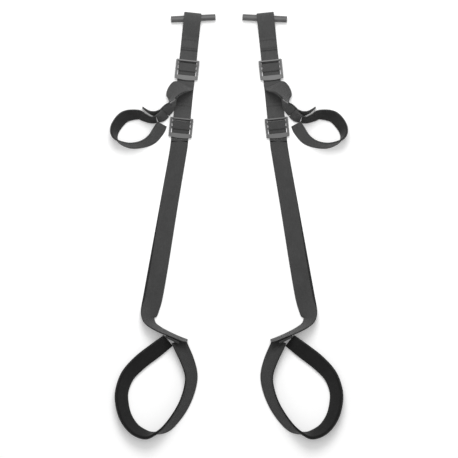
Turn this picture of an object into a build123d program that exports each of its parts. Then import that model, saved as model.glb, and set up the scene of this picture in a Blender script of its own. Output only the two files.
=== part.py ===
from build123d import *
import os
from dataclasses import dataclass
from math import cos, pi, radians, sin

# A mirrored pair of over-the-door arm and leg suspension straps, laid flat on a floor.
# Millimetres. X runs across the pair, +Y up the straps towards the door bars, +Z up from the
# floor. Everything is drawn once, for the strap at negative X, and mirrored for the other.

# Webbing
WEB_WIDTH = 38.0
WEB_THICKNESS = 1.5
LAYER_GAP = 0.3            # between two layers of webbing that aren't sewn together
SEWN_GAP = 0.1             # between two layers that are
RUNNING_GAP = 0.3          # between pieces that move against each other
STITCH_HEIGHT = 0.4
STITCH_WIDTH = 1.2
STITCH_MARGIN = 2.0        # from a stitch row's end to the webbing's edge
SEAM_THICKNESS = 4.5       # a sewn stack of three layers

# Door bar
BAR_LENGTH = 98.0
BAR_RADIUS = 7.0
BAR_BORE_RADIUS = 4.2
BAR_EDGE = 0.6             # rounding of its ends
BAR_PLACE = (-78.5, 456.5)
BAR_TURN = 2.8             # degrees from the X axis
BAR_LOOP_SLACK = 0.6       # added to the loop's inner radius
BAR_LOOP_REACH = 3.2       # how far the loop's bend stands past the bar's axis

# Anchor webbing, measured down the strap from the bar
ANCHOR_START = (-80.5, 456.5)
ANCHOR_LEAN = 6.0          # degrees from straight down
KEEPER_SEAM_START = 43.0
KEEPER_SEAM_END = 71.0
UPPER_BUCKLE_AT = 93.8     # bar to the upper buckle's fixed bar
LOWER_BUCKLE_AT = 222.1    # bar to the lower buckle's fixed bar
FOLD_SEAM_LENGTH = 16.0    # flat overlap of the fold round the lower buckle's fixed bar
FOLD_RISE = 20.0           # length over which a sewn layer climbs to a fixed bar
FOLD_STITCH_AT = 8.0       # stitch row, from the fold's free end
LOOP_TOP = 2.0             # level stretch of a loop's upper layer over a fixed bar
KEEPER_STITCH_INSET = 4.0  # stitch rows, from the ends of the keeper's seam

# Ladder lock buckle, measured down the strap from its fixed bar
BUCKLE_WIDTH = 51.0
BUCKLE_OPENING = 42.0
BUCKLE_LENGTH = 45.0
BUCKLE_HEAD = 2.0          # from the fixed bar's axis up to the head end
FIXED_BAR_RADIUS = 2.4
RUNG_LENGTH = 4.6
RUNG_THICKNESS = 3.0
RUNG_SPREAD = 15.4         # from the top of the first rung to the foot of the second
TAB_LENGTH = 11.0
TAB_THICKNESS = 2.8
TAB_BULGE = 3.0            # how far the middle of the tab's edge stands out past its ends
GUARD_LENGTH = 3.4
GUARD_THICKNESS = 1.8
GUARD_CLEARANCE = 1.2      # over the webbing that passes under the guard rail
BUCKLE_EDGE = 0.8
STRAP_EXIT = 45.0          # where the webbing comes out from under the tab
EXIT_RUN = 8.5             # how far it then keeps straight on
TAIL_FAN = 36.0            # degrees that the wrist strap's tail fans out from its run
TAIL_APART = 4.2           # between the middles of the two where the loop is sewn on

# Leg strap
LEG_LEAN = 10.3
LEG_PADDING_THICKNESS = 5.0
LEG_PADDING_WIDTH = 36.0

# Wrist loop
WRIST_LINING_THICKNESS = 2.0
WRIST_LINING_WIDTH = 34.0

# Heights over the surface that a buckle lies on
FIXED_BAR_HEIGHT = WEB_THICKNESS + RUNNING_GAP + FIXED_BAR_RADIUS
FOLD_RADIUS = FIXED_BAR_RADIUS + RUNNING_GAP + WEB_THICKNESS / 2
GUARD_HEIGHT = FIXED_BAR_HEIGHT + FOLD_RADIUS + WEB_THICKNESS / 2 + GUARD_CLEARANCE
LAYER_PITCH = WEB_THICKNESS + LAYER_GAP
SEWN_PITCH = WEB_THICKNESS + SEWN_GAP
LOAD_HEIGHT = RUNNING_GAP + WEB_THICKNESS / 2
TAIL_HEIGHT = LOAD_HEIGHT + LAYER_PITCH
RUNG_FOOT = LOAD_HEIGHT + WEB_THICKNESS / 2 + RUNNING_GAP
RUNG_TOP = RUNG_FOOT + RUNG_THICKNESS
OVER_HEIGHT = RUNG_TOP + RUNNING_GAP + WEB_THICKNESS / 2
TAB_FOOT = TAIL_HEIGHT + WEB_THICKNESS / 2 + RUNNING_GAP
# Places down the strap from a fixed bar
TURN_UP_AT = FOLD_RADIUS + WEB_THICKNESS + 0.5
FIRST_RUNG_AT = TURN_UP_AT + WEB_THICKNESS / 2 + RUNNING_GAP
TURN_DOWN_AT = FIRST_RUNG_AT + RUNG_SPREAD + RUNNING_GAP + WEB_THICKNESS / 2
TAB_END = BUCKLE_LENGTH - BUCKLE_HEAD - TAB_BULGE


@dataclass
class Layer:
    """One layer of a stack of webbing: its size, and how far it lies off the stack's route."""

    width: float = WEB_WIDTH
    thickness: float = WEB_THICKNESS
    shift: float = 0.0

    def reach(self, tilt):
        """How far below the route the layer's lowest edge lies, at a tilt from upright."""
        return (self.width / 2 * abs(cos(tilt)) + self.thickness / 2 * abs(sin(tilt))
                - self.shift * sin(tilt))


def smooth(places, steps=4):
    """Places on a Catmull-Rom curve through the given ones, with the same steps in each span."""
    ends = [places[0], *places, places[-1]]
    curve = []
    for a, b, c, d in zip(ends, ends[1:], ends[2:], ends[3:]):
        for step in range(steps):
            t = step / steps
            curve.append(tuple(
                q + t * (r - p) / 2 + t**2 * (2 * p - 5 * q + 4 * r - s) / 2
                + t**3 * (3 * q - p - 3 * r + s) / 2
                for p, q, r, s in zip(a, b, c, d)))
    return [*curve, tuple(places[-1])]


def stations(places, layers, steps=4):
    """Planes across a stack of webbing that rests on its lower edge along a route.

    A place is (x, y, floor, tilt). The tilt is in degrees from standing upright on the edge:
    90 or -90 lies flat, and a positive tilt leans the upper edge to the left of the route.
    """
    route = smooth(places, steps)
    planes = []
    for i, (x, y, floor, tilt) in enumerate(route):
        before, after = route[max(i - 1, 0)], route[min(i + 1, len(route) - 1)]
        run = Vector(after[0] - before[0], after[1] - before[1], 0).normalized()
        turn = radians(tilt)
        across = Vector(-run.Y, run.X, 0) * sin(turn) + Vector(0, 0, cos(turn))
        height = floor + max(layer.reach(turn) for layer in layers)
        planes.append(Plane(origin=(x, y, height), x_dir=across, z_dir=run))
    return planes


def ribbon(planes, layer):
    """One layer of twisting webbing: a rectangle on each plane, joined by ruled sides."""
    section = Pos(0, layer.shift) * Rectangle(layer.width, layer.thickness)
    return Solid.make_loft([(plane * section).wire() for plane in planes], ruled=True)


def faceted_ribbon(planes, layer):
    """The same webbing with flat triangles for sides, for a long run that twists slowly.

    Its two faces are split along the same diagonals, so it keeps its thickness.
    """
    x, y = layer.width / 2, layer.thickness / 2
    corners = [(x, layer.shift + y), (-x, layer.shift + y), (-x, layer.shift - y),
               (x, layer.shift - y)]
    rings = [[plane.from_local_coords((*corner, 0)) for corner in corners] for plane in planes]
    sides = [rings[0], rings[-1]]
    for near, far in zip(rings, rings[1:]):
        for i, j in ((0, 1), (1, 2)):
            sides += [[near[i], near[j], far[j]], [near[i], far[j], far[i]]]
        for i, j in ((2, 3), (3, 0)):
            sides += [[near[i], near[j], far[i]], [near[j], far[j], far[i]]]
    return Solid(Shell([Face(Wire.make_polygon(side)) for side in sides]))


def strap_frame(place, lean, height=0.0):
    """A frame on a strap: X across it, Y up it, Z off the floor."""
    return Plane(origin=(*place, height), x_dir=(cos(radians(lean)), -sin(radians(lean)), 0))


def down_strap(start, lean, distance):
    """The point on the floor at a distance down a straight stretch of strap."""
    return (start[0] - distance * sin(radians(lean)), start[1] - distance * cos(radians(lean)))


def side_profile(section, width):
    """A section drawn as (up the strap, height), made as wide as given across the strap."""
    return extrude(Plane.YZ * section, width / 2, both=True)


def beside(points, radii, amount):
    """A round-cornered line parallel to the one through the points, to its left by an amount."""
    runs = [(Vector(*b) - Vector(*a)).normalized() for a, b in zip(points, points[1:])]
    sides = [Vector(-run.Y, run.X, 0) for run in runs]
    sides = [sides[0], *sides, sides[-1]]
    moved = [Vector(*point) + (a + b) * (amount / (1 + a.dot(b)))
             for point, a, b in zip(points, sides, sides[1:])]
    turns = [a.cross(b).Z for a, b in zip(runs, runs[1:])]
    bends = [radius - (amount if turn > 0 else -amount) for radius, turn in zip(radii, turns)]
    return FilletPolyline(*moved, radius=bends)


def folded_web(points, radii, width=WEB_WIDTH):
    """Webbing whose middle follows (distance down the strap, height) points with round bends."""
    points = [(-distance, height) for distance, height in points]
    left = beside(points, radii, WEB_THICKNESS / 2)
    right = beside(points, radii, -WEB_THICKNESS / 2)
    ends = Line(left @ 0, right @ 0) + Line(left @ 1, right @ 1)
    return side_profile(make_face(left + right + ends), width)


def stitch_row(distance, height):
    """A row of stitches across the webbing, on a face at the given height."""
    size = (WEB_WIDTH - 2 * STITCH_MARGIN, STITCH_WIDTH, STITCH_HEIGHT)
    return Pos(0, -distance, height + STITCH_HEIGHT / 2) * Box(*size)


def door_bar():
    """The hollow bar that stays behind the door."""
    height = WEB_THICKNESS + RUNNING_GAP + BAR_RADIUS
    tube = Cylinder(BAR_RADIUS, BAR_LENGTH) - Cylinder(BAR_BORE_RADIUS, BAR_LENGTH)
    tube = fillet(tube.edges().filter_by(GeomType.CIRCLE), BAR_EDGE)
    return Pos(*BAR_PLACE, height) * Rot(0, 0, BAR_TURN) * Rot(0, 90, 0) * tube


def anchor_webbing(frame):
    """The loop round the door bar, the backbone, and the fold round the lower fixed bar."""
    bend = BAR_RADIUS + RUNNING_GAP + BAR_LOOP_SLACK + WEB_THICKNESS / 2
    back = WEB_THICKNESS / 2
    front = back + 3 * SEWN_PITCH
    top = back + 2 * bend
    far = -BAR_LOOP_REACH - bend
    fold_end = LOWER_BUCKLE_AT - FOLD_RISE - FOLD_SEAM_LENGTH
    near = LOWER_BUCKLE_AT + FOLD_RADIUS
    points = [
        (KEEPER_SEAM_END, front), (KEEPER_SEAM_START, front), (BAR_RADIUS - 2, top), (far, top),
        (far, back), (near, back), (near, back + 2 * FOLD_RADIUS),
        (LOWER_BUCKLE_AT - LOOP_TOP, back + 2 * FOLD_RADIUS),
        (LOWER_BUCKLE_AT - FOLD_RISE, back + SEWN_PITCH), (fold_end, back + SEWN_PITCH)]
    tight = 0.01
    radii = [20, 12, bend - tight, bend - tight, FOLD_RADIUS - tight, FOLD_RADIUS - tight, 4, 12]
    return frame * folded_web(points, radii)


def anchor_stitching(frame):
    """Two rows that close the bar loop over the keeper, and the row that closes the fold."""
    top = WEB_THICKNESS + 3 * SEWN_PITCH
    rows = [stitch_row(KEEPER_SEAM_START + KEEPER_STITCH_INSET, top),
            stitch_row(KEEPER_SEAM_END - KEEPER_STITCH_INSET, top)]
    fold_row = LOWER_BUCKLE_AT - FOLD_RISE - FOLD_SEAM_LENGTH + FOLD_STITCH_AT
    return frame * Compound(rows), frame * stitch_row(fold_row, WEB_THICKNESS + SEWN_PITCH)


def keeper_webbing(frame):
    """The short doubled loop that holds the upper buckle, sewn between the anchor layers."""
    back = SEWN_PITCH + WEB_THICKNESS / 2
    near = UPPER_BUCKLE_AT + FOLD_RADIUS
    top = back + 2 * FOLD_RADIUS
    points = [
        (KEEPER_SEAM_START, back), (near, back), (near, top), (UPPER_BUCKLE_AT - LOOP_TOP, top),
        (KEEPER_SEAM_END, back + SEWN_PITCH), (KEEPER_SEAM_START, back + SEWN_PITCH)]
    tight = 0.01
    radii = [FOLD_RADIUS - tight, FOLD_RADIUS - tight, 4, 12]
    return frame * folded_web(points, radii)


def buckle(frame):
    """The ladder lock: side rails, guard rail, fixed bar, two rungs and the release tab."""
    rail_width = (BUCKLE_WIDTH - BUCKLE_OPENING) / 2
    guard_top = GUARD_HEIGHT + GUARD_THICKNESS
    guard_foot = GUARD_LENGTH - BUCKLE_HEAD
    tab_top = TAB_FOOT + TAB_THICKNESS
    side = make_face(Polyline(
        (BUCKLE_HEAD, RUNNING_GAP + 0.6), (BUCKLE_HEAD, guard_top), (-guard_foot, guard_top),
        (-TURN_DOWN_AT, tab_top + 1), (-TAB_END, tab_top), (-TAB_END, TAB_FOOT),
        (-TURN_DOWN_AT, RUNNING_GAP + 0.6), close=True))
    rail = side_profile(side, rail_width)
    rail = fillet(rail.edges(), BUCKLE_EDGE)
    rail_at = (BUCKLE_OPENING + rail_width) / 2
    span = BUCKLE_OPENING + rail_width
    guard = Pos(0, (BUCKLE_HEAD - guard_foot) / 2, GUARD_HEIGHT + GUARD_THICKNESS / 2)
    guard *= Box(span, GUARD_LENGTH, GUARD_THICKNESS)
    guard = fillet(guard.edges().filter_by(Axis.X), BUCKLE_EDGE)
    fixed_bar = Pos(0, 0, FIXED_BAR_HEIGHT) * Rot(0, 90, 0) * Cylinder(FIXED_BAR_RADIUS, span)
    rung = fillet(Box(span, RUNG_LENGTH, RUNG_THICKNESS).edges().filter_by(Axis.X), 1.4)
    rung_places = (FIRST_RUNG_AT + RUNG_LENGTH / 2, FIRST_RUNG_AT + RUNG_SPREAD - RUNG_LENGTH / 2)
    rungs = [Pos(0, -place, RUNG_FOOT + RUNG_THICKNESS / 2) * rung for place in rung_places]
    return frame * (Pos(rail_at, 0, 0) * rail + Pos(-rail_at, 0, 0) * rail + guard + fixed_bar
                    + rungs + release_tab())


def release_tab():
    """The buckle's tab: straight along the slot, bulging at the edge that a thumb lifts."""
    half = BUCKLE_WIDTH / 2
    start = -(TAB_END - TAB_LENGTH + TAB_BULGE)
    outline = Polyline((half, -TAB_END), (half, start), (-half, start), (-half, -TAB_END))
    outline += ThreePointArc((-half, -TAB_END), (0, -TAB_END - TAB_BULGE), (half, -TAB_END))
    tab = Pos(0, 0, TAB_FOOT) * extrude(make_face(outline), TAB_THICKNESS)
    return fillet(tab.edges(), BUCKLE_EDGE)


def strap_turn(frame):
    """The webbing inside a buckle: up past the fixed bar, over the rungs, down under the tab."""
    points = [
        (STRAP_EXIT - RUNNING_GAP, LOAD_HEIGHT), (TURN_UP_AT, LOAD_HEIGHT),
        (TURN_UP_AT, OVER_HEIGHT), (TURN_DOWN_AT, OVER_HEIGHT), (TURN_DOWN_AT, TAIL_HEIGHT),
        (STRAP_EXIT - RUNNING_GAP, TAIL_HEIGHT)]
    return frame * folded_web(points, [2.2, 2.2, 1.6, 1.6])


def fanned(planes):
    """Planes for a second layer that fans out from the first one and closes on it again.

    The upper edges stay side by side, and the lower edge swings away by up to TAIL_FAN.
    """
    fan = []
    for i, plane in enumerate(planes):
        along = i / (len(planes) - 1)
        swing = radians(TAIL_FAN) * sin(pi * along)**2
        apart = LAYER_PITCH + (TAIL_APART - LAYER_PITCH) * along
        centre = (WEB_WIDTH / 2 * (1 - cos(swing)), apart + WEB_WIDTH / 2 * sin(swing), 0)
        across = plane.x_dir * cos(swing) - plane.y_dir * sin(swing)
        fan.append(Plane(origin=plane.from_local_coords(centre), x_dir=across, z_dir=plane.z_dir))
    return fan


def wrist_strap(exits):
    """The run from the upper buckle to the wrist loop, and the free tail beside it."""
    floor = SEWN_PITCH + RUNNING_GAP
    run = [
        *[(*place, floor, 90) for place in exits], (-99.5, 304, floor, 50),
        (-105.5, 296, floor, 24), (-113, 285, 2.5, 8), (-118, 273, 4.2, -6),
        (-125.5, 262, 6.5, -24), (-132.5, 255.5, 5, -31), (-139, 249, 3, -32)]
    tail = [
        (-151, 246.5, 0, -28), (-161, 246, 0, -18), (-173, 249, 0, -9), (-183, 255, 0, -5),
        (-190, 261, 0, -2)]
    web = Layer()
    run_planes = stations(run, [web])
    tail_planes = fanned(run_planes) + stations(tail, [web])
    return ribbon(run_planes, web), ribbon(tail_planes, web)


def wrist_loop():
    """The sewn seam, the webbing ring and its thin lining."""
    seam_route = [(-139.4, 248, 0, -32), (-148, 240, 0, -32), (-158, 235.6, 0, -22)]
    seam = Layer(thickness=SEAM_THICKNESS)
    ring_route = [
        (-159.4, 235, 0, -21), (-171, 233.5, 0, -19), (-186, 239, 0, -24), (-200, 245, 0, -31),
        (-229, 240, 0, -40),
        (-248, 219, 0, -36), (-252, 200, 0, -20), (-243, 185, 0, 3), (-218, 176, 0, 15),
        (-191, 179, 0, 22), (-169, 191, 0, 35), (-154, 211, 0, 42), (-147, 224, 0, 36)]
    web = Layer()
    lining = Layer(WRIST_LINING_WIDTH, WRIST_LINING_THICKNESS,
                   -(WEB_THICKNESS + WRIST_LINING_THICKNESS) / 2 - 0.1)
    planes = stations(ring_route, [web, lining])
    return ribbon(stations(seam_route, [seam]), seam), ribbon(planes, web), ribbon(planes, lining)


def leg_strap(exits):
    """The run from the lower buckle to the leg loop, and the free tail on top of it."""
    bend = down_strap(exits[-1], (ANCHOR_LEAN + LEG_LEAN) / 2, 25)
    straight = [*exits, bend, down_strap(bend, LEG_LEAN, 120), down_strap(bend, LEG_LEAN, 250)]
    end = down_strap(bend, LEG_LEAN, 320)
    neck = [
        (*end, 0, -90), (-175, -184, 0, -80), (-177, -203, 0, -45), (-168, -218, 0, -22),
        (-153, -228, 0, -15), (-137, -236, 0, -12)]
    tip = [(-119, -244, 0, -10), (-102, -251, 0, -10), (-92, -254, 0, -8)]
    route = [(*place, 0, -90) for place in straight] + neck
    run, tail = Layer(), Layer(shift=-LAYER_PITCH)
    return (faceted_ribbon(stations(route, [run]), run),
            faceted_ribbon(stations(route + tip, [run]), tail))


def leg_loop():
    """The sewn seam, the webbing ring and its padding."""
    seam_route = [(-138.4, -239.1, 0, -12), (-123.4, -246.4, 0, -12), (-108.4, -253.7, 0, -12)]
    seam = Layer(thickness=SEAM_THICKNESS)
    ring_route = [
        (-133.9, -250.7, 0, -50), (-165, -275, 0, -60), (-196, -299, 0, -58), (-222, -326, 0, -50),
        (-235, -356, 0, -45), (-237, -383, 0, -45), (-229, -418, 0, -42), (-210, -446, 0, -36),
        (-184, -460, 0, -25), (-161, -458, 0, 0), (-137, -446, 0, 22), (-115, -421, 0, 30),
        (-97, -391, 0, 34), (-85, -357, 0, 38), (-82, -327, 0, 42), (-91, -295, 0, 48),
        (-106, -262, 0, 52)]
    web = Layer()
    padding = Layer(LEG_PADDING_WIDTH, LEG_PADDING_THICKNESS,
                    -(WEB_THICKNESS + LEG_PADDING_THICKNESS) / 2 - 0.1)
    planes = stations(ring_route, [web, padding])
    return ribbon(stations(seam_route, [seam]), seam), ribbon(planes, web), ribbon(planes, padding)


def one_strap():
    """Every piece of the strap at negative X, by name."""
    anchor = strap_frame(ANCHOR_START, ANCHOR_LEAN)
    buckle_places = [down_strap(ANCHOR_START, ANCHOR_LEAN, distance)
                     for distance in (UPPER_BUCKLE_AT, LOWER_BUCKLE_AT)]
    upper = strap_frame(buckle_places[0], ANCHOR_LEAN, SEWN_PITCH)
    lower = strap_frame(buckle_places[1], ANCHOR_LEAN)
    upper_exits, lower_exits = (
        [down_strap(place, ANCHOR_LEAN, STRAP_EXIT + further) for further in (0, EXIT_RUN / 2, EXIT_RUN)]
        for place in buckle_places)
    pieces = {"door_bar": door_bar(), "anchor_webbing": anchor_webbing(anchor)}
    pieces["anchor_stitching"], pieces["fold_stitching"] = anchor_stitching(anchor)
    pieces["keeper_webbing"] = keeper_webbing(anchor)
    pieces["upper_buckle"] = buckle(upper)
    pieces["wrist_strap_turn"] = strap_turn(upper)
    pieces["wrist_strap"], pieces["wrist_strap_tail"] = wrist_strap(upper_exits)
    (pieces["wrist_loop_seam"], pieces["wrist_loop_webbing"],
     pieces["wrist_loop_lining"]) = wrist_loop()
    pieces["lower_buckle"] = buckle(lower)
    pieces["leg_strap_turn"] = strap_turn(lower)
    pieces["leg_strap"], pieces["leg_strap_tail"] = leg_strap(lower_exits)
    pieces["leg_loop_seam"], pieces["leg_loop_webbing"], pieces["leg_loop_padding"] = leg_loop()
    return pieces


strap = one_strap()
boxes = [piece.bounding_box() for piece in strap.values()]
middle = (max(box.max.Y for box in boxes) + min(box.min.Y for box in boxes)) / 2
centred = Location((0, -middle, -min(box.min.Z for box in boxes)))
os.makedirs("parts", exist_ok=True)
for name, piece in strap.items():
    piece = piece.moved(centred)
    export_step(piece, f"parts/left_{name}.step")
    export_step(mirror(piece, Plane.YZ), f"parts/right_{name}.step")
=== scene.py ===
"""Dresses a mirrored pair of over-door arm and leg suspension straps, laid flat on a floor.

Every run of webbing is a surface worked out from its route: a rounded section carried along
stations that give its middle, the direction across it and the direction off its face. Sizes are
in millimetres until a mesh is made, and meshes are in metres in the frame's own coordinates.
"""

import logging
from dataclasses import dataclass, field
from enum import Enum

import bpy
import numpy as np
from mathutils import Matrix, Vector

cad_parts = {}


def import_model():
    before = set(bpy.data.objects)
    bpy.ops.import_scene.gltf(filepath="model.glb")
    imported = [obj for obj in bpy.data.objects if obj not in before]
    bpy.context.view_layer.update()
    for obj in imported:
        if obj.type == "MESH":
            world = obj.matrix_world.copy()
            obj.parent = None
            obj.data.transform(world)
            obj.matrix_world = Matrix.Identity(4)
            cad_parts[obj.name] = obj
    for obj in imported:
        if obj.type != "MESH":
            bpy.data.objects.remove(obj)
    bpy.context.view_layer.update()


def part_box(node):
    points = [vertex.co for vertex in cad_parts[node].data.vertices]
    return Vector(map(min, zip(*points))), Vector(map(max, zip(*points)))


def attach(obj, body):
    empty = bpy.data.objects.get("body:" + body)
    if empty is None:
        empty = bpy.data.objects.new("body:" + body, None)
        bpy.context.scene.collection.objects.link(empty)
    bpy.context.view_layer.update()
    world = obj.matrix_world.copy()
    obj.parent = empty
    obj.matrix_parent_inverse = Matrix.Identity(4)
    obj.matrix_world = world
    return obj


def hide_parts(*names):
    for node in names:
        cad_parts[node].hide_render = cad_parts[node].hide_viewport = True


MM = 0.001
WEB_WIDTH = 38.0
WEB_THICKNESS = 1.5
LAYER_GAP = 0.3
SEWN_GAP = 0.1
RUNNING_GAP = 0.3
LAYER_PITCH = WEB_THICKNESS + LAYER_GAP
SEWN_PITCH = WEB_THICKNESS + SEWN_GAP
SEAM_THICKNESS = 4.5
CROSS_ROW_WIDTH = WEB_WIDTH - 5.0
ROW_PITCH = 1.6
# A bend loses this much of its radius, so that two bends on one corner never quite meet.
BEND_TRIM = 0.01
# Folded webbing: radians between stations in a bend, then the widest and the narrowest step.
ARC_STEP = 0.2
STATION_STEP = 3.0
LEAST_STEP = 0.15

log = logging.getLogger("straps")


class Side(Enum):
    """Which strap of the pair: the value is the sign that turns drawn X into the strap's X."""

    LEFT = 1
    RIGHT = -1

    @property
    def word(self) -> str:
        """The side as it stands in node and body names."""
        return self.name.lower()


# ---------------------------------------------------------------------------------------------
# Finishes
# ---------------------------------------------------------------------------------------------


def linear(colour: str) -> tuple[float, float, float, float]:
    """Turns an sRGB hex colour into linear RGBA.

    Args:
        colour: six hex digits after a hash sign.

    Returns:
        Linear red, green, blue and an alpha of one.
    """
    parts = np.array([int(colour[i:i + 2], 16) for i in (1, 3, 5)]) / 255
    low, high = parts / 12.92, ((parts + 0.055) / 1.055) ** 2.4
    return (*np.where(parts <= 0.04045, low, high).tolist(), 1.0)


def add_node(tree: bpy.types.NodeTree, kind: str, settings: dict | None = None,
             links: dict | None = None) -> bpy.types.Node:
    """Adds one node to a tree.

    Args:
        tree: the node tree.
        kind: the node's type name.
        settings: attribute names, or input numbers or names, with their values.
        links: input numbers or names, with the output sockets that feed them.

    Returns:
        The new node.
    """
    node = tree.nodes.new(kind)
    for key, value in (settings or {}).items():
        if isinstance(key, str) and hasattr(node, key):
            setattr(node, key, value)
        else:
            node.inputs[key].default_value = value
    for key, socket in (links or {}).items():
        tree.links.new(socket, node.inputs[key])
    return node


def new_material(name: str) -> tuple[bpy.types.Material, bpy.types.NodeTree, bpy.types.Node]:
    """Makes an empty node material.

    Args:
        name: the material's name.

    Returns:
        The material, its node tree and its output node.
    """
    material = bpy.data.materials.new(name)
    material.use_nodes = True
    tree = material.node_tree
    tree.nodes.clear()
    return material, tree, tree.nodes.new("ShaderNodeOutputMaterial")


@dataclass(frozen=True)
class WovenWebbing:
    """Polyester webbing, woven on a narrow loom and dyed: dull, ribbed, a little fuzzy.

    The threads cross as staggered bricks, one pick long and one end wide, so the face shows
    fine ribs. Handling leaves it unevenly faded, and lint catches on it as paler specks.
    """

    name: str
    colour: str
    faded: str
    shade: str
    pick_mm: float = 2.6
    end_mm: float = 1.5

    def material(self) -> bpy.types.Material:
        """Builds the material; its pattern follows the webbing's own map, in metres."""
        material, tree, output = new_material(self.name)
        place = add_node(tree, "ShaderNodeTexCoord").outputs
        # Weave: one brick is one thread showing on the face, half a pick further in each row.
        bricks = add_node(
            tree, "ShaderNodeTexBrick",
            {"offset": 0.5, "Color1": (1, 1, 1, 1), "Color2": (0.72, 0.72, 0.72, 1),
             "Mortar": (0.12, 0.12, 0.12, 1), "Scale": 1 / MM,
             "Mortar Size": 0.12 * self.end_mm, "Mortar Smooth": 1.0,
             "Brick Width": self.pick_mm, "Row Height": self.end_mm},
            {"Vector": place["UV"]})
        # Fading: soft patches a few centimetres long.
        patches = add_node(
            tree, "ShaderNodeTexNoise",
            {"Scale": 28.0, "Detail": 5.0, "Roughness": 0.62}, {"Vector": place["Object"]})
        spread = add_node(
            tree, "ShaderNodeMapRange",
            {"From Min": 0.35, "From Max": 0.72, "To Min": 0.0, "To Max": 1.0},
            {"Value": patches.outputs[0]})
        ground = add_node(
            tree, "ShaderNodeMix",
            {"data_type": "RGBA", 6: linear(self.colour), 7: linear(self.faded)},
            {0: spread.outputs[0]})
        threads = add_node(
            tree, "ShaderNodeMix",
            {"data_type": "RGBA", 6: linear(self.shade)},
            {0: bricks.outputs["Color"], 7: ground.outputs[2]})
        # Lint: sparse pale specks under a millimetre across.
        specks = add_node(
            tree, "ShaderNodeTexNoise",
            {"Scale": 900.0, "Detail": 2.0}, {"Vector": place["Object"]})
        sparse = add_node(
            tree, "ShaderNodeMapRange",
            {"From Min": 0.68, "From Max": 0.80, "To Min": 0.0, "To Max": 0.35},
            {"Value": specks.outputs[0]})
        linted = add_node(
            tree, "ShaderNodeMix",
            {"data_type": "RGBA", 7: linear("#8A8A88")},
            {0: sparse.outputs[0], 6: threads.outputs[2]})
        fuzz = add_node(
            tree, "ShaderNodeTexNoise",
            {"Scale": 1600.0, "Detail": 3.0}, {"Vector": place["Object"]})
        relief = add_node(
            tree, "ShaderNodeMath", {"operation": "MULTIPLY_ADD", 1: 0.35},
            {0: fuzz.outputs[0], 2: bricks.outputs["Fac"]})
        bump = add_node(
            tree, "ShaderNodeBump",
            {"Strength": 0.55, "Distance": 0.35 * MM, "invert": True},
            {"Height": relief.outputs[0]})
        rough = add_node(
            tree, "ShaderNodeMapRange", {"To Min": 0.72, "To Max": 0.92},
            {"Value": patches.outputs[0]})
        shader = add_node(
            tree, "ShaderNodeBsdfPrincipled",
            {"IOR": 1.5, "Specular IOR Level": 0.25, "Sheen Weight": 0.12, "Sheen Roughness": 0.5},
            {"Base Color": linted.outputs[2], "Roughness": rough.outputs[0],
             "Normal": bump.outputs[0]})
        tree.links.new(shader.outputs[0], output.inputs["Surface"])
        return material


@dataclass(frozen=True)
class BrushedKnit:
    """Nylon knit brushed to a soft nap: very dark and dull, with loops in short crowded rows."""

    name: str
    colour: str
    nap: str
    loop_mm: float = 1.6

    def material(self) -> bpy.types.Material:
        """Builds the material from crowded cells, one to a knitted loop, in object coordinates."""
        material, tree, output = new_material(self.name)
        place = add_node(tree, "ShaderNodeTexCoord").outputs
        loops = add_node(
            tree, "ShaderNodeTexVoronoi",
            {"feature": "SMOOTH_F1", "Scale": 1 / (self.loop_mm * MM), "Smoothness": 0.4,
             "Randomness": 0.7},
            {"Vector": place["Object"]})
        nap = add_node(
            tree, "ShaderNodeTexNoise",
            {"Scale": 60.0, "Detail": 6.0, "Roughness": 0.7}, {"Vector": place["Object"]})
        brushed = add_node(
            tree, "ShaderNodeMapRange",
            {"From Min": 0.38, "From Max": 0.68, "To Min": 0.0, "To Max": 1.0},
            {"Value": nap.outputs[0]})
        colour = add_node(
            tree, "ShaderNodeMix",
            {"data_type": "RGBA", 6: linear(self.colour), 7: linear(self.nap)},
            {0: brushed.outputs[0]})
        fibres = add_node(
            tree, "ShaderNodeTexNoise",
            {"Scale": 1400.0, "Detail": 3.0}, {"Vector": place["Object"]})
        relief = add_node(
            tree, "ShaderNodeMath", {"operation": "MULTIPLY_ADD", 1: 0.5},
            {0: fibres.outputs[0], 2: loops.outputs["Distance"]})
        bump = add_node(
            tree, "ShaderNodeBump", {"Strength": 0.7, "Distance": 0.5 * MM, "invert": True},
            {"Height": relief.outputs[0]})
        shader = add_node(
            tree, "ShaderNodeBsdfPrincipled",
            {"Roughness": 0.95, "IOR": 1.5, "Specular IOR Level": 0.15, "Sheen Weight": 0.1,
             "Sheen Roughness": 0.6},
            {"Base Color": colour.outputs[2], "Normal": bump.outputs[0]})
        tree.links.new(shader.outputs[0], output.inputs["Surface"])
        return material


@dataclass(frozen=True)
class SewingThread:
    """Bonded polyester thread, twisted from three strands: dull, with a fine slanting twist."""

    name: str
    colour: str
    twist_mm: float = 0.9

    def material(self) -> bpy.types.Material:
        """Builds the material with slanting bands, one to a strand, in object coordinates."""
        material, tree, output = new_material(self.name)
        place = add_node(tree, "ShaderNodeTexCoord").outputs
        twist = add_node(
            tree, "ShaderNodeTexWave",
            {"bands_direction": "DIAGONAL", "Scale": 0.3 / (self.twist_mm * MM),
             "Distortion": 1.0},
            {"Vector": place["Object"]})
        colour = add_node(
            tree, "ShaderNodeMix",
            {"data_type": "RGBA", 6: linear("#161616"), 7: linear(self.colour)},
            {0: twist.outputs["Fac"]})
        bump = add_node(
            tree, "ShaderNodeBump", {"Strength": 0.4, "Distance": 0.2 * MM},
            {"Height": twist.outputs["Fac"]})
        shader = add_node(
            tree, "ShaderNodeBsdfPrincipled",
            {"Roughness": 0.6, "IOR": 1.5, "Specular IOR Level": 0.35},
            {"Base Color": colour.outputs[2], "Normal": bump.outputs[0]})
        tree.links.new(shader.outputs[0], output.inputs["Surface"])
        return material


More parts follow.
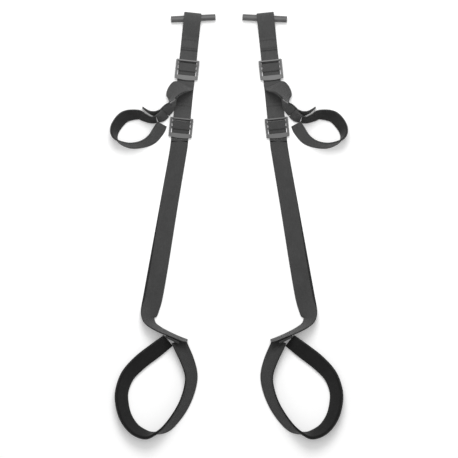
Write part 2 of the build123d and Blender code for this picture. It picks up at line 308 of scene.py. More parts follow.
@dataclass(frozen=True)
class MouldedPlastic:
    """Injection-moulded acetal, lightly etched in the mould: satin grey, rubbed where it slides."""

    name: str
    colour: str
    rubbed: str
    roughness: float = 0.42
    grain_mm: float = 0.7

    def material(self) -> bpy.types.Material:
        """Builds the material: mould grain as bump, flow marks as tint, rubbing as gloss."""
        material, tree, output = new_material(self.name)
        place = add_node(tree, "ShaderNodeTexCoord").outputs
        flow = add_node(
            tree, "ShaderNodeTexNoise",
            {"Scale": 45.0, "Detail": 4.0, "Distortion": 0.6}, {"Vector": place["Object"]})
        tint = add_node(
            tree, "ShaderNodeMapRange",
            {"From Min": 0.36, "From Max": 0.70}, {"Value": flow.outputs[0]})
        colour = add_node(
            tree, "ShaderNodeMix",
            {"data_type": "RGBA", 6: linear(self.colour), 7: linear(self.rubbed)},
            {0: tint.outputs[0]})
        grain = add_node(
            tree, "ShaderNodeTexNoise",
            {"Scale": 1 / (self.grain_mm * MM), "Detail": 3.0, "Roughness": 0.6},
            {"Vector": place["Object"]})
        bump = add_node(
            tree, "ShaderNodeBump", {"Strength": 0.25, "Distance": 0.12 * MM},
            {"Height": grain.outputs[0]})
        gloss = add_node(
            tree, "ShaderNodeMapRange",
            {"To Min": self.roughness - 0.08, "To Max": self.roughness + 0.12},
            {"Value": flow.outputs[0]})
        shader = add_node(
            tree, "ShaderNodeBsdfPrincipled", {"IOR": 1.48},
            {"Base Color": colour.outputs[2], "Roughness": gloss.outputs[0],
             "Normal": bump.outputs[0]})
        tree.links.new(shader.outputs[0], output.inputs["Surface"])
        return material


@dataclass(frozen=True)
class PaleSweep:
    """A seamless white paper sweep: it shows white to the eye and keeps the soft shadow."""

    name: str = "paper_sweep"
    colour: str = "#F4F4F4"
    lift: float = 0.16

    def material(self) -> bpy.types.Material:
        """Builds matt paper, with a glow that only the eye, gloss and glass see."""
        material, tree, output = new_material(self.name)
        seen = add_node(tree, "ShaderNodeLightPath").outputs
        either = add_node(
            tree, "ShaderNodeMath", {"operation": "MAXIMUM"},
            {0: seen["Is Camera Ray"], 1: seen["Is Glossy Ray"]})
        shown = add_node(
            tree, "ShaderNodeMath", {"operation": "MAXIMUM"},
            {0: either.outputs[0], 1: seen["Is Transmission Ray"]})
        paper = add_node(tree, "ShaderNodeBsdfDiffuse", {"Color": linear(self.colour)})
        strength = add_node(
            tree, "ShaderNodeMath", {"operation": "MULTIPLY", 1: self.lift},
            {0: shown.outputs[0]})
        glow = add_node(
            tree, "ShaderNodeEmission", {"Color": (1, 1, 1, 1)}, {"Strength": strength.outputs[0]})
        both = add_node(
            tree, "ShaderNodeAddShader", {}, {0: paper.outputs[0], 1: glow.outputs[0]})
        tree.links.new(both.outputs[0], output.inputs["Surface"])
        return material


@dataclass
class Palette:
    """The finishes of the pair, made once and shared by both straps."""

    anchor: bpy.types.Material = field(init=False)
    leg: bpy.types.Material = field(init=False)
    under: bpy.types.Material = field(init=False)
    cuff: bpy.types.Material = field(init=False)
    lining: bpy.types.Material = field(init=False)
    padding: bpy.types.Material = field(init=False)
    thread: bpy.types.Material = field(init=False)
    buckle: bpy.types.Material = field(init=False)
    lower_buckle: bpy.types.Material = field(init=False)
    bar: bpy.types.Material = field(init=False)

    def __post_init__(self) -> None:
        """Builds every finish."""
        self.anchor = WovenWebbing("anchor_webbing", "#474747", "#505050", "#2C2C2C").material()
        self.leg = WovenWebbing("leg_webbing", "#3F3F3F", "#484848", "#282828").material()
        # The leg strap's lower layer is the same webbing as its tail, coloured darker: painted shade
        # for where the upper layer shadows it.
        self.under = WovenWebbing("painted_shade_under_webbing", "#242424", "#2C2C2C", "#161616").material()
        self.cuff = WovenWebbing("cuff_webbing", "#323232", "#3B3B3B", "#202020").material()
        self.lining = BrushedKnit("wrist_lining", "#1F1F1F", "#292929", 1.2).material()
        self.padding = BrushedKnit("leg_padding", "#121212", "#191919").material()
        self.thread = SewingThread("sewing_thread", "#3A3A3A").material()
        self.buckle = MouldedPlastic("moulded_buckle", "#5E5E5E", "#686868").material()
        self.lower_buckle = MouldedPlastic("moulded_lower_buckle", "#505050", "#5A5A5A").material()
        self.bar = MouldedPlastic("tube_bar", "#4C4C4C", "#565656", 0.5).material()


# ---------------------------------------------------------------------------------------------
# Routes and meshes
# ---------------------------------------------------------------------------------------------


def unit(vectors: np.ndarray) -> np.ndarray:
    """Scales each vector to a length of one."""
    return vectors / np.linalg.norm(vectors, axis=-1, keepdims=True)


def smooth_places(places: np.ndarray, steps: int) -> np.ndarray:
    """Samples the curve that passes through a list of places.

    Between places q and r, with p before and s after, the curve is q + t(r-p)/2 +
    t^2(2p-5q+4r-s)/2 + t^3(3q-p-3r+s)/2 for t from 0 to 1.

    Args:
        places: one row to a place.
        steps: samples in each span.

    Returns:
        The samples, one to a row.
    """
    padded = np.vstack([places[:1], places, places[-1:]])
    t = (np.arange(steps) / steps)[None, :, None]
    p, q, r, s = (padded[i:len(padded) - 3 + i, None, :] for i in range(4))
    curve = (q + t * (r - p) / 2 + t**2 * (2 * p - 5 * q + 4 * r - s) / 2
             + t**3 * (3 * q - p - 3 * r + s) / 2)
    return np.vstack([curve.reshape(-1, places.shape[1]), places[-1:]])


@dataclass
class Layer:
    """One layer of a stack of webbing: its size, and how far it lies off the stack's route."""

    width: float = WEB_WIDTH
    thickness: float = WEB_THICKNESS
    shift: float = 0.0

    def reach(self, tilt: np.ndarray) -> np.ndarray:
        """How far the lowest edge lies below the route, at tilts from upright in radians."""
        return (self.width / 2 * np.abs(np.cos(tilt)) + self.thickness / 2 * np.abs(np.sin(tilt))
                - self.shift * np.sin(tilt))

    def section(self, flats: int = 11, bends: int = 5) -> np.ndarray:
        """The rounded outline of the layer, as a closed loop.

        Each long side is a row of points. Each edge is half an ellipse that reaches across by
        0.6 of the thickness, but by no more than a sixth of the width.

        Args:
            flats: points along each long side.
            bends: points round each edge, without its ends.

        Returns:
            Pairs of (across, off the face), turning from across towards off the face.
        """
        half, thick = self.width / 2, self.thickness / 2
        edge = min(thick * 1.2, half / 3)
        row = np.linspace(half - edge, edge - half, flats)
        turn = np.pi * (np.arange(1, bends + 1) / (bends + 1)) - np.pi / 2
        bend = np.stack([half - edge + edge * np.cos(turn), thick * np.sin(turn)], axis=1)
        top = np.stack([row, np.full(flats, thick)], axis=1)
        loop = np.vstack([top, -bend, -top, bend])
        return loop + np.array([0.0, self.shift])


@dataclass
class Strip:
    """Stations along a run of webbing: its middle, the way across it and the way off its face."""

    middle: np.ndarray
    across: np.ndarray
    off: np.ndarray

    @classmethod
    def standing(cls, places: list[tuple[float, float, float, float]], layers: list[Layer],
                 steps: int = 12) -> "Strip":
        """Webbing that rests on its lower edge along a route on the floor.

        The way across is the route's left side times the sine of the tilt, plus straight up
        times its cosine. The middle is as high as the lowest edge needs.

        Args:
            places: (x, y, floor, tilt in degrees from standing upright) along the route.
            layers: the layers whose edges rest on the floor.
            steps: samples between two places.

        Returns:
            The strip.
        """
        route = smooth_places(np.array(places, float), steps)
        run = np.zeros((len(route), 3))
        run[:, :2] = np.gradient(route[:, :2], axis=0)
        run = unit(run)
        tilt = np.radians(route[:, 3:4])
        left = np.stack([-run[:, 1], run[:, 0], np.zeros(len(run))], axis=1)
        across = left * np.sin(tilt) + np.array([0.0, 0.0, 1.0]) * np.cos(tilt)
        height = route[:, 2] + np.max([layer.reach(tilt[:, 0]) for layer in layers], axis=0)
        return cls(np.column_stack([route[:, :2], height]), across, np.cross(run, across))

    @classmethod
    def folded(cls, start: tuple[float, float], lean: float, corners: list[tuple[float, float]],
               radii: list[float]) -> "Strip":
        """Webbing that folds up and back over itself along a straight strap.

        Each corner is an arc of its radius that touches both runs. The way across stays level.

        Args:
            start: where the distances start, on the floor.
            lean: degrees from straight down.
            corners: (distance down the strap, height) of the middle of the webbing.
            radii: the bend at each inner corner.

        Returns:
            The strip.
        """
        points = np.array(corners, float)
        runs = unit(np.diff(points, axis=0))
        pieces = [points[:1]]
        for corner, before, after, radius in zip(points[1:-1], runs, runs[1:], radii):
            turn = np.arctan2(before[0] * after[1] - before[1] * after[0], before @ after)
            angle = np.linspace(0, turn, 2 + int(abs(turn) / ARC_STEP))
            side = np.array([-before[1], before[0]]) * np.sign(turn)
            first = corner - before * radius * np.tan(abs(turn) / 2)
            swung = np.abs(angle)[:, None]
            pieces.append(first + before * radius * np.sin(swung)
                          + side * radius * (1 - np.cos(swung)))
        line = np.vstack([*pieces, points[-1:]])
        along = np.concatenate([[0], np.cumsum(np.linalg.norm(np.diff(line, axis=0), axis=1))])
        wanted = np.union1d(along, np.arange(0, along[-1], STATION_STEP))
        wanted = wanted[np.concatenate([[True], np.diff(wanted) > LEAST_STEP])]
        flat = np.stack([np.interp(wanted, along, line[:, i]) for i in range(2)], axis=1)
        tangent = unit(np.gradient(flat, axis=0))
        turn = np.radians(lean)
        down = np.array([-np.sin(turn), -np.cos(turn), 0.0])
        up = np.array([0.0, 0.0, 1.0])
        across = np.tile([np.cos(turn), -np.sin(turn), 0.0], (len(flat), 1))
        middle = np.array([*start, 0.0]) + flat[:, :1] * down + flat[:, 1:] * up
        run = tangent[:, :1] * down + tangent[:, 1:] * up
        return cls(middle, across, np.cross(run, across))

    @property
    def along(self) -> np.ndarray:
        """The distance of each station from the start."""
        steps = np.linalg.norm(np.diff(self.middle, axis=0), axis=1)
        return np.concatenate([[0], np.cumsum(steps)])

    def joined(self, other: "Strip") -> "Strip":
        """This strip with another after it."""
        return Strip(*(np.vstack([getattr(self, name), getattr(other, name)])
                       for name in ("middle", "across", "off")))

    def at(self, distance: np.ndarray, across: np.ndarray,
           off: np.ndarray) -> tuple[np.ndarray, np.ndarray, np.ndarray]:
        """Points on the strip, with their run and face directions.

        Args:
            distance: how far along.
            across: how far across from the middle.
            off: how far off the middle of the webbing.

        Returns:
            Points, run directions and face directions, one to a row.
        """
        def pick(values: np.ndarray) -> np.ndarray:
            return np.stack([np.interp(distance, self.along, values[:, i]) for i in range(3)], 1)

        wide, face = unit(pick(self.across)), unit(pick(self.off))
        points = pick(self.middle) + wide * across[:, None] + face * off[:, None]
        return points, np.cross(wide, face), face


@dataclass
class Maker:
    """Makes the meshes of one strap, and says what each one stands for and moves with."""

    side: Side
    origin: np.ndarray

    def place(self, points: np.ndarray) -> np.ndarray:
        """Turns drawn millimetres into the frame's metres, on this strap's side."""
        moved = points + self.origin
        return moved * np.array([self.side.value, 1, 1]) * MM

    def mesh(self, name: str, points: np.ndarray, faces: list[np.ndarray],
             maps: np.ndarray | None = None) -> bpy.types.Object:
        """Makes a smooth mesh object.

        Args:
            name: the piece's name, without its side.
            points: drawn points in millimetres.
            faces: arrays of point numbers, one face to a row, outward on the left strap.
            maps: map coordinates in metres for each corner, in the faces' order.

        Returns:
            The object, at the origin.
        """
        flip = self.side is Side.RIGHT
        rows = [face[::-1] if flip else face for block in faces for face in block.tolist()]
        data = bpy.data.meshes.new(f"{self.side.word}_{name}_dress")
        data.from_pydata(self.place(points).tolist(), [], rows)
        data.polygons.foreach_set("use_smooth", np.ones(len(rows), bool))
        if maps is not None:
            sizes = [len(row) for row in rows]
            if flip:
                starts = np.concatenate([[0], np.cumsum(sizes)[:-1]])
                order = np.concatenate([np.arange(a + n - 1, a - 1, -1)
                                        for a, n in zip(starts, sizes)])
                maps = maps[order]
            layer = data.uv_layers.new(name="weave")
            layer.data.foreach_set("uv", maps.astype(np.float32).ravel())
        data.update()
        piece = bpy.data.objects.new(f"{self.side.word}_{name}_dress", data)
        bpy.context.scene.collection.objects.link(piece)
        return piece

    def webbing(self, name: str, strip: Strip, layer: Layer) -> bpy.types.Object:
        """Carries a layer's section along a strip: middle + across * a + off * b.

        Args:
            name: the piece's name, without its side.
            strip: where the webbing runs.
            layer: its section.

        Returns:
            The closed mesh, with a map that runs in metres along and round the section.
        """
        section = layer.section()
        count, ring = len(strip.middle), len(section)
        points = (strip.middle[:, None] + strip.across[:, None] * section[None, :, :1]
                  + strip.off[:, None] * section[None, :, 1:])
        i, j = np.meshgrid(np.arange(count - 1), np.arange(ring), indexing="ij")
        nxt = (j + 1) % ring
        quads = np.stack([i * ring + j, i * ring + nxt, (i + 1) * ring + nxt, (i + 1) * ring + j],
                         axis=-1).reshape(-1, 4)
        caps = [np.arange(ring)[None, ::-1], np.arange(ring)[None] + (count - 1) * ring]
        round_it = np.concatenate([[0], np.cumsum(np.linalg.norm(
            np.diff(np.vstack([section, section[:1]]), axis=0), axis=1))])
        along = strip.along
        maps = np.stack([
            np.stack([along[i], along[i], along[i + 1], along[i + 1]], axis=-1),
            np.stack([round_it[j], round_it[j + 1], round_it[j + 1], round_it[j]], axis=-1)],
            axis=-1).reshape(-1, 2)
        maps = np.vstack([maps, section[::-1], section]) * MM
        return self.mesh(name, points.reshape(-1, 3), [quads, *caps], maps)

    def stitches(self, name: str, rows: list[tuple[np.ndarray, np.ndarray, np.ndarray]],
                 length: float = 2.6, width: float = 0.9, height: float = 0.8) -> bpy.types.Object:
        """Lays one small rounded stitch at every point of some rows.

        A stitch is a grid over a half-sunk ellipsoid: run * l cos(a) cos(b) + side * w cos(a)
        sin(b) + face * h sin(a).

        Args:
            name: the piece's name, without its side.
            rows: points, stitch directions and face directions for each row.
            length: of a stitch.
            width: of a stitch.
            height: of a stitch.

        Returns:
            One mesh of all the stitches.
        """
        where, run, face = (np.vstack([row[i] for row in rows]) for i in range(3))
        around, belts = 8, 3
        a = np.linspace(-np.pi / 3, np.pi / 3, belts)[:, None]
        b = (np.arange(around) * 2 * np.pi / around)[None]
        shape = np.stack([np.cos(a) * np.cos(b) * length / 2, np.cos(a) * np.sin(b) * width / 2,
                          np.sin(a) * np.ones_like(b) * height / 2], axis=-1).reshape(-1, 3)
        shape = np.vstack([shape, [[0, 0, -height / 2], [0, 0, height / 2]]])
        side = np.cross(face, run)
        points = (where[:, None] + run[:, None] * shape[None, :, :1]
                  + side[:, None] * shape[None, :, 1:2] + face[:, None] * shape[None, :, 2:])
        k = np.arange(around)
        n = (k + 1) % around
        quads = np.concatenate([np.stack([k + m * around, n + m * around, n + (m + 1) * around,
                                          k + (m + 1) * around], 1) for m in range(belts - 1)])
        foot = np.stack([n, k, np.full(around, belts * around)], 1)
        head = np.stack([k, n, np.full(around, belts * around + 1)], 1)
        head[:, :2] += (belts - 1) * around
        shift = (np.arange(len(where)) * len(shape))[:, None, None]
        return self.mesh(name, points.reshape(-1, 3),
                         [(quads[None] + shift).reshape(-1, 4), (foot[None] + shift).reshape(-1, 3),
                          (head[None] + shift).reshape(-1, 3)])

    def dress(self, piece: bpy.types.Object, finish: bpy.types.Material, body: str,
              nodes: tuple[str, ...] = ()) -> None:
        """Gives a piece its finish, its body and the nodes that it stands for."""
        piece.data.materials.append(finish)
        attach(piece, f"{self.side.word}_{body}")
        if nodes:
            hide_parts(*(f"{self.side.word}_{node}" for node in nodes))
        log.info("%s: %d faces", piece.name, len(piece.data.polygons))

    def dress_node(self, node: str, finish: bpy.types.Material) -> None:
        """Gives a rigid CAD node its finish."""
        piece = bpy.data.objects[f"{self.side.word}_{node}"]
        piece.data.materials.clear()
        piece.data.materials.append(finish)
        log.info("%s: dressed", piece.name)


def cross_row(strip: Strip, distance: float, width: float, off: float,
              pitch: float = 3.2) -> tuple[np.ndarray, np.ndarray, np.ndarray]:
    """A row of stitches across a strip: even steps from edge to edge at one distance.

    Args:
        strip: the webbing.
        distance: along it.
        width: of the row.
        off: how far off the middle of the webbing.
        pitch: from one stitch to the next.

    Returns:
        Points, stitch directions and face directions.
    """
    count = int(width / pitch) + 1
    across = np.linspace(-width / 2, width / 2, count)
    points, run, face = strip.at(np.full(count, distance), across, np.full(count, off))
    return points, np.cross(run, face), face


def long_row(strip: Strip, first: float, last: float, across: float, off: float,
             pitch: float = 3.6) -> tuple[np.ndarray, np.ndarray, np.ndarray]:
    """A row of stitches along a strip: even steps at one distance across.

    Args:
        strip: the webbing.
        first: distance along it to the first stitch.
        last: distance along it to the last stitch.
        across: from its middle.
        off: how far off the middle of the webbing.
        pitch: from one stitch to the next.

    Returns:
        Points, stitch directions and face directions.
    """
    count = max(int((last - first) / pitch) + 1, 2)
    distance = np.linspace(first, last, count)
    return strip.at(distance, np.full(count, across), np.full(count, off))


def edge_rows(strip: Strip, end: float,
              edge: float) -> list[tuple[np.ndarray, np.ndarray, np.ndarray]]:
    """The two rows of stitches along a strip, one beside each edge.

    Args:
        strip: the webbing.
        end: from each end of the strip to the rows.
        edge: from each edge of the webbing to its row.

    Returns:
        Points, stitch directions and face directions for each row.
    """
    return [long_row(strip, end, strip.along[-1] - end, side * (WEB_WIDTH / 2 - edge),
                     WEB_THICKNESS / 2) for side in (-1, 1)]


def down_strap(start: tuple[float, float], lean: float, distance: float) -> tuple[float, float]:
    """The point at a distance down a straight stretch of strap that leans by some degrees."""
    turn = np.radians(lean)
    return (start[0] - distance * float(np.sin(turn)), start[1] - distance * float(np.cos(turn)))


# ---------------------------------------------------------------------------------------------
# Sub-assemblies
# ---------------------------------------------------------------------------------------------


@dataclass
class Anchor:
    """The webbing round the door bar, the backbone, and the keeper of the upper buckle."""

    start: tuple[float, float] = (-80.5, 456.5)
    lean: float = 6.0
    bar_radius: float = 7.0
    bar_slack: float = 0.6
    bar_reach: float = 3.2
    bar_lead: float = 2.0
    seam_start: float = 43.0
    seam_end: float = 71.0
    upper_at: float = 93.8
    lower_at: float = 222.1
    fold_seam: float = 16.0
    fold_rise: float = 20.0
    fold_stitch_at: float = 8.0
    loop_top: float = 2.0
    stitch_inset: float = 4.0
    fixed_bar_radius: float = 2.4
    seam_bend: float = 20.0
    slope_bend: float = 12.0
    crest_bend: float = 4.0

    @property
    def fold_radius(self) -> float:
        """The bend of webbing round a fixed bar, at the webbing's middle."""
        return self.fixed_bar_radius + RUNNING_GAP + WEB_THICKNESS / 2

    def backbone(self) -> Strip:
        """The long anchor webbing: over the bar, down, and up round the lower fixed bar."""
        bend = self.bar_radius + RUNNING_GAP + self.bar_slack + WEB_THICKNESS / 2
        back = WEB_THICKNESS / 2
        front, top = back + 3 * SEWN_PITCH, back + 2 * bend
        far, near = -self.bar_reach - bend, self.lower_at + self.fold_radius
        high = back + 2 * self.fold_radius
        fold_end = self.lower_at - self.fold_rise - self.fold_seam
        corners = [
            (self.seam_end, front), (self.seam_start, front),
            (self.bar_radius - self.bar_lead, top), (far, top), (far, back), (near, back),
            (near, high), (self.lower_at - self.loop_top, high),
            (self.lower_at - self.fold_rise, back + SEWN_PITCH), (fold_end, back + SEWN_PITCH)]
        over, fold = bend - BEND_TRIM, self.fold_radius - BEND_TRIM
        radii = [self.seam_bend, self.slope_bend, over, over, fold, fold, self.crest_bend,
                 self.slope_bend]
        return Strip.folded(self.start, self.lean, corners, radii)

    def keeper(self) -> Strip:
        """The short doubled loop that holds the upper buckle."""
        back = SEWN_PITCH + WEB_THICKNESS / 2
        near, top = self.upper_at + self.fold_radius, back + 2 * self.fold_radius
        corners = [
            (self.seam_start, back), (near, back), (near, top),
            (self.upper_at - self.loop_top, top), (self.seam_end, back + SEWN_PITCH),
            (self.seam_start, back + SEWN_PITCH)]
        fold = self.fold_radius - BEND_TRIM
        return Strip.folded(self.start, self.lean, corners,
                            [fold, fold, self.crest_bend, self.slope_bend])

    def build(self, maker: Maker, palette: Palette) -> None:
        """Makes the backbone, the keeper and their stitching."""
        web = Layer()
        backbone, keeper = self.backbone(), self.keeper()
        piece = maker.webbing("anchor_webbing", backbone, web)
        maker.dress(piece, palette.anchor, "anchor", ("anchor_webbing",))
        piece = maker.webbing("keeper_webbing", keeper, web)
        maker.dress(piece, palette.anchor, "anchor", ("keeper_webbing",))
        off, seam_length = -WEB_THICKNESS / 2, self.seam_end - self.seam_start
        rows = [cross_row(backbone, distance, CROSS_ROW_WIDTH, off)
                for inset in (0.0, ROW_PITCH)
                for distance in (self.stitch_inset + inset,
                                 seam_length - self.stitch_inset - inset)]
        piece = maker.stitches("anchor_stitching", rows)
        maker.dress(piece, palette.thread, "anchor", ("anchor_stitching",))
        fold_row = backbone.along[-1] - self.fold_stitch_at
        rows = [cross_row(backbone, fold_row + inset, CROSS_ROW_WIDTH, off)
                for inset in (0.0, ROW_PITCH)]
        piece = maker.stitches("fold_stitching", rows)
        maker.dress(piece, palette.thread, "anchor", ("fold_stitching",))


@dataclass
class LadderLock:
    """The webbing that turns over a ladder lock's rungs; the lock itself is the CAD node."""

    body: str
    buckle_node: str
    turn_node: str
    at: float
    height: float
    rung_thickness: float = 3.0
    rung_spread: float = 15.4
    strap_exit: float = 45.0
    exit_step: float = 4.25
    rise_gap: float = 0.5
    rise_bend: float = 2.2
    drop_bend: float = 1.6

    def turn(self, anchor: Anchor) -> Strip:
        """Up past the fixed bar, over the rungs and down under the tab."""
        load = self.height + RUNNING_GAP + WEB_THICKNESS / 2
        over = (self.height + RUNNING_GAP + WEB_THICKNESS + RUNNING_GAP + self.rung_thickness
                + RUNNING_GAP + WEB_THICKNESS / 2)
        up_at = anchor.fold_radius + WEB_THICKNESS + self.rise_gap
        first = up_at + WEB_THICKNESS / 2 + RUNNING_GAP
        down_at = first + self.rung_spread + RUNNING_GAP + WEB_THICKNESS / 2
        end = self.strap_exit - RUNNING_GAP
        corners = [(end, load), (up_at, load), (up_at, over), (down_at, over),
                   (down_at, load + LAYER_PITCH), (end, load + LAYER_PITCH)]
        start = down_strap(anchor.start, anchor.lean, self.at)
        return Strip.folded(start, anchor.lean, corners,
                            [self.rise_bend, self.rise_bend, self.drop_bend, self.drop_bend])

    def exits(self, anchor: Anchor) -> list[tuple[float, float]]:
        """Three points down the strap where the webbing leaves the lock."""
        start = down_strap(anchor.start, anchor.lean, self.at)
        return [down_strap(start, anchor.lean, self.strap_exit + step * self.exit_step)
                for step in range(3)]

    def build(self, maker: Maker, palette: Palette, anchor: Anchor,
              webbing: bpy.types.Material, plastic: bpy.types.Material, slot: str) -> None:
        """Makes the turned webbing and dresses the lock."""
        piece = maker.webbing(self.turn_node, self.turn(anchor), Layer())
        maker.dress(piece, webbing, self.body, (self.turn_node,))
        maker.dress_node(self.buckle_node, plastic)


@dataclass
class WristBranch:
    """The short strap from the upper lock and the small lined loop on its end."""

    fan: float = 36.0
    apart: float = 4.2
    lining_thickness: float = 2.0
    lining_width: float = 34.0
    stitch_end: float = 3.0
    stitch_edge: float = 3.0
    seam_rows: tuple[float, float] = (3.0, 16.0)

    def fanned(self, strip: Strip) -> Strip:
        """A second layer that fans out from the first and closes on it again.

        The upper edges stay side by side while the lower edge swings out by the fan angle times
        the squared sine of pi times the share of the way along.

        Args:
            strip: the first layer.

        Returns:
            The second layer.
        """
        share = np.linspace(0, 1, len(strip.middle))[:, None]
        swing = np.radians(self.fan) * np.sin(np.pi * share) ** 2
        apart = LAYER_PITCH + (self.apart - LAYER_PITCH) * share
        half = WEB_WIDTH / 2
        middle = (strip.middle + strip.across * half * (1 - np.cos(swing))
                  + strip.off * (apart + half * np.sin(swing)))
        across = strip.across * np.cos(swing) - strip.off * np.sin(swing)
        off = strip.off * np.cos(swing) + strip.across * np.sin(swing)
        return Strip(middle, across, off)

    def routes(self, exits: list[tuple[float, float]]) -> tuple[Strip, Strip]:
        """The run to the loop, and the free tail beside it."""
        floor = SEWN_PITCH + RUNNING_GAP
        run = [
            *[(*place, floor, 90) for place in exits], (-99.5, 304, floor, 50),
            (-105.5, 296, floor, 24), (-113, 285, 2.5, 8), (-118, 273, 4.2, -6),
            (-125.5, 262, 6.5, -24), (-132.5, 255.5, 5, -31), (-139, 249, 3, -32)]
        tail = [
            (-151, 246.5, 0, -28), (-161, 246, 0, -18), (-173, 249, 0, -9), (-183, 255, 0, -5),
            (-190, 261, 0, -2)]
        first = Strip.standing(run, [Layer()])
        second = self.fanned(first)
        return first, second.joined(Strip.standing(tail, [Layer()]))

    def ring(self) -> Strip:
        """The loop's own route, from the seam and back to it."""
        places = [
            (-159.4, 235, 0, -21), (-171, 233.5, 0, -19), (-186, 239, 0, -24), (-200, 245, 0, -31),
            (-229, 240, 0, -40), (-248, 219, 0, -36), (-252, 200, 0, -20), (-243, 185, 0, 3),
            (-218, 176, 0, 15), (-191, 179, 0, 22), (-169, 191, 0, 35), (-154, 211, 0, 42),
            (-147, 224, 0, 36)]
        return Strip.standing(places, [Layer(), self.lining()])

    def lining(self) -> Layer:
        """The knitted lining, inside the webbing."""
        return Layer(self.lining_width, self.lining_thickness,
                     -(WEB_THICKNESS + self.lining_thickness) / 2 - SEWN_GAP)

    def build(self, maker: Maker, palette: Palette, exits: list[tuple[float, float]]) -> None:
        """Makes the strap, its tail, the seam and the loop."""
        web = Layer()
        run, tail = self.routes(exits)
        piece = maker.webbing("wrist_strap", run, web)
        maker.dress(piece, palette.anchor, "wrist_run", ("wrist_strap",))
        piece = maker.webbing("wrist_strap_tail", tail, web)
        maker.dress(piece, palette.anchor, "wrist_run", ("wrist_strap_tail",))
        seam = Strip.standing([(-139.4, 248, 0, -32), (-148, 240, 0, -32), (-158, 235.6, 0, -22)],
                              [Layer(thickness=SEAM_THICKNESS)])
        piece = maker.webbing("wrist_loop_seam", seam, Layer(thickness=SEAM_THICKNESS))
        maker.dress(piece, palette.anchor, "wrist_cuff", ("wrist_loop_seam",))
        ring = self.ring()
        piece = maker.webbing("wrist_loop_webbing", ring, web)
        maker.dress(piece, palette.anchor, "wrist_cuff", ("wrist_loop_webbing",))
        piece = maker.webbing("wrist_loop_lining", ring, self.lining())
        maker.dress(piece, palette.lining, "wrist_cuff", ("wrist_loop_lining",))
        rows = edge_rows(ring, self.stitch_end, self.stitch_edge)
        rows += [cross_row(seam, along, CROSS_ROW_WIDTH, SEAM_THICKNESS / 2)
                 for along in self.seam_rows]
        piece = maker.stitches("wrist_loop_stitching", rows)
        maker.dress(piece, palette.thread, "wrist_cuff")


@dataclass
class LegBranch:
    """The long strap from the lower lock and the large padded loop on its end."""

    lean: float = 10.3
    bend_run: float = 25.0
    straight_runs: tuple[float, float, float] = (120.0, 250.0, 320.0)
    padding_thickness: float = 5.0
    padding_width: float = 36.0
    stitch_end: float = 4.0
    stitch_edge: float = 3.5
    slip: float = 5.0
    slip_start: float = 120.0
    slip_growth: float = 220.0
    slip_end: float = -200.0
    slip_fade: float = 40.0

    def slip_at(self, y: float) -> float:
        """How far the tail has slipped sideways off the run, so that a border of the run shows.

        The slip grows below slip_start over slip_growth, and fades over slip_fade to slip_end.

        Args:
            y: the place along the strap, on the floor.

        Returns:
            The sideways distance.
        """
        grown = np.clip((self.slip_start - y) / self.slip_growth, 0, 1)
        left = np.clip((y - self.slip_end) / self.slip_fade, 0, 1)
        return self.slip * float(left * grown)

    def routes(self, anchor: Anchor, exits: list[tuple[float, float]]) -> tuple[Strip, Strip]:
        """The run to the loop, and the free tail on top of it."""
        bend = down_strap(exits[-1], (anchor.lean + self.lean) / 2, self.bend_run)
        straight = [*exits, bend,
                    *(down_strap(bend, self.lean, run) for run in self.straight_runs)]
        neck = [
            (-175, -184, 0, -80), (-177, -203, 0, -45), (-168, -218, 0, -22),
            (-153, -228, 0, -15), (-137, -236, 0, -12)]
        tip = [(-119, -244, 0, -10), (-102, -251, 0, -10), (-92, -254, 0, -8)]
        route = [(*place, 0, -90) for place in straight] + neck
        slipped = [(x + self.slip_at(y), y, floor, tilt) for x, y, floor, tilt in route]
        return Strip.standing(route, [Layer()]), Strip.standing(slipped + tip, [Layer()])

    def ring(self) -> Strip:
        """The loop's own route, from the seam and back to it."""
        places = [
            (-133.9, -250.7, 0, -50), (-165, -275, 0, -60), (-196, -299, 0, -58),
            (-222, -326, 0, -50), (-235, -356, 0, -45), (-237, -383, 0, -45), (-229, -418, 0, -42),
            (-210, -446, 0, -36), (-184, -460, 0, -25), (-161, -458, 0, 0), (-137, -446, 0, 22),
            (-115, -421, 0, 30), (-97, -391, 0, 34), (-85, -357, 0, 38), (-82, -327, 0, 42),
            (-91, -295, 0, 48), (-106, -262, 0, 52), (-109.5, -252, 0, 54)]
        return Strip.standing(places, [Layer(), self.padding()])

    def padding(self) -> Layer:
        """The foam padding, inside the webbing."""
        return Layer(self.padding_width, self.padding_thickness,
                     -(WEB_THICKNESS + self.padding_thickness) / 2 - SEWN_GAP)

    def build(self, maker: Maker, palette: Palette, anchor: Anchor,
              exits: list[tuple[float, float]]) -> None:
        """Makes the strap, its tail, the seam and the loop."""
        web = Layer()
        run, tail = self.routes(anchor, exits)
        piece = maker.webbing("leg_strap", run, web)
        # The lower layer takes the darker copy of the leg webbing, which is painted shade.
        maker.dress(piece, palette.under, "leg_run", ("leg_strap",))
        piece = maker.webbing("leg_strap_tail", tail, Layer(shift=-LAYER_PITCH))
        maker.dress(piece, palette.leg, "leg_run", ("leg_strap_tail",))
        seam = Strip.standing(
            [(-138.4, -239.1, 0, -12), (-123.4, -246.4, 0, -12), (-108.4, -253.7, 0, -12)],
            [Layer(thickness=SEAM_THICKNESS)])
        piece = maker.webbing("leg_loop_seam", seam, Layer(thickness=SEAM_THICKNESS))
        maker.dress(piece, palette.cuff, "leg_cuff", ("leg_loop_seam",))
        ring = self.ring()
        piece = maker.webbing("leg_loop_webbing", ring, web)
        maker.dress(piece, palette.cuff, "leg_cuff", ("leg_loop_webbing",))
        piece = maker.webbing("leg_loop_padding", ring, self.padding())
        maker.dress(piece, palette.padding, "leg_cuff", ("leg_loop_padding",))
        rows = edge_rows(ring, self.stitch_end, self.stitch_edge)
        piece = maker.stitches("leg_loop_stitching", rows)
        maker.dress(piece, palette.thread, "leg_cuff")


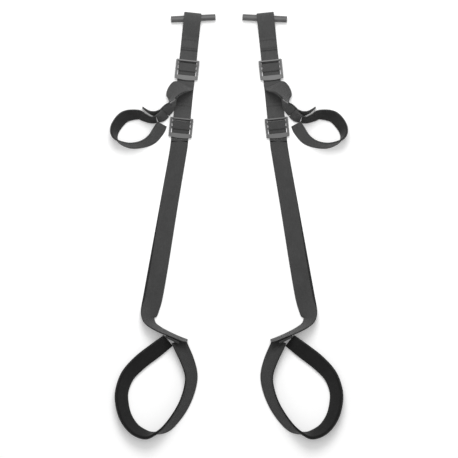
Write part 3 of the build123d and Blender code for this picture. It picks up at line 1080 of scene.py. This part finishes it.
@dataclass
class Strap:
    """One whole strap of the pair."""

    side: Side
    bar_middle: tuple[float, float] = (-78.5, 456.5)

    def build(self, palette: Palette) -> None:
        """Builds the strap's sub-assemblies from the bar down."""
        low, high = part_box(f"{self.side.word}_door_bar")
        middle = np.array([(a + b) / 2 / MM for a, b in zip(low, high)])
        origin = np.array([0.0, middle[1] - self.bar_middle[1], 0.0])
        maker = Maker(self.side, origin)
        anchor = Anchor()
        maker.dress_node("door_bar", palette.bar)
        anchor.build(maker, palette)
        upper = LadderLock("upper_lock", "upper_buckle", "wrist_strap_turn", anchor.upper_at,
                           SEWN_PITCH)
        lower = LadderLock("lower_lock", "lower_buckle", "leg_strap_turn", anchor.lower_at, 0.0)
        upper.build(maker, palette, anchor, palette.anchor, palette.buckle, "webbing")
        lower.build(maker, palette, anchor, palette.leg, palette.lower_buckle, "leg_webbing")
        WristBranch().build(maker, palette, upper.exits(anchor))
        LegBranch().build(maker, palette, anchor, lower.exits(anchor))


@dataclass(frozen=True)
class Lamp:
    """A square soft lamp that faces the middle of the floor, in metres and watts."""

    name: str
    place: tuple[float, float, float]
    size: float
    power: float


@dataclass
class Studio:
    """A white floor under soft overhead light, seen straight from above."""

    frame_height: float = 1.0076
    aim: tuple[float, float] = (0.0, -0.0079)
    camera_height: float = 10.0
    key: Lamp = Lamp("key", (0.0, 1.5, 2.1), 1.3, 46.0)
    fill: Lamp = Lamp("fill", (0.0, 0.1, 2.6), 1.2, 14.0)
    world_light: float = 0.42

    def build(self) -> None:
        """Lays the floor, hangs the lamps, sets the world and places the camera."""
        self.floor()
        self.lamps()
        self.world()
        self.camera()

    def floor(self) -> None:
        """A plain floor, far wider than the view."""
        data = bpy.data.meshes.new("floor")
        far, low = 6.0, -0.0004
        data.from_pydata([(-far, -far, low), (far, -far, low), (far, far, low), (-far, far, low)],
                         [], [(0, 1, 2, 3)])
        floor = bpy.data.objects.new("floor", data)
        bpy.context.scene.collection.objects.link(floor)
        data.materials.append(PaleSweep().material())

    def lamps(self) -> None:
        """One broad lamp beyond the door bars, and a weaker one over the middle."""
        for lamp in (self.key, self.fill):
            data = bpy.data.lights.new(lamp.name, "AREA")
            data.shape = "SQUARE"
            data.size, data.energy = lamp.size, lamp.power
            light = bpy.data.objects.new(lamp.name, data)
            light.location = lamp.place
            light.rotation_euler = (-Vector(lamp.place)).to_track_quat("-Z", "Y").to_euler()
            bpy.context.scene.collection.objects.link(light)

    def world(self) -> None:
        """Even white light from all round, which shows as plain white."""
        world = bpy.data.worlds.new("studio")
        world.use_nodes = True
        tree = world.node_tree
        tree.nodes.clear()
        seen = add_node(tree, "ShaderNodeLightPath").outputs["Is Camera Ray"]
        strength = add_node(
            tree, "ShaderNodeMapRange", {"To Min": self.world_light, "To Max": 1.0}, {"Value": seen})
        sky = add_node(tree, "ShaderNodeBackground", {"Color": (1, 1, 1, 1)},
                       {"Strength": strength.outputs[0]})
        output = tree.nodes.new("ShaderNodeOutputWorld")
        tree.links.new(sky.outputs[0], output.inputs["Surface"])
        bpy.context.scene.world = world

    def camera(self) -> None:
        """A long lens that frames the pair from above, with the door bars at the top."""
        data = bpy.data.cameras.new("camera")
        data.sensor_width = 36.0
        data.lens = data.sensor_width * self.camera_height / self.frame_height
        data.clip_end = 20.0
        camera = bpy.data.objects.new("camera", data)
        camera.location = (*self.aim, self.camera_height)
        bpy.context.scene.collection.objects.link(camera)
        bpy.context.scene.camera = camera
        bpy.context.scene.view_settings.view_transform = "Standard"


def main() -> None:
    """Builds the studio and both straps round the frame, and notes the sizes."""
    logging.basicConfig(level=logging.INFO, format="%(name)s: %(message)s")
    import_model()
    Studio().build()
    palette = Palette()
    for side in Side:
        Strap(side).build(palette)


if __name__ == "__main__":
    main()
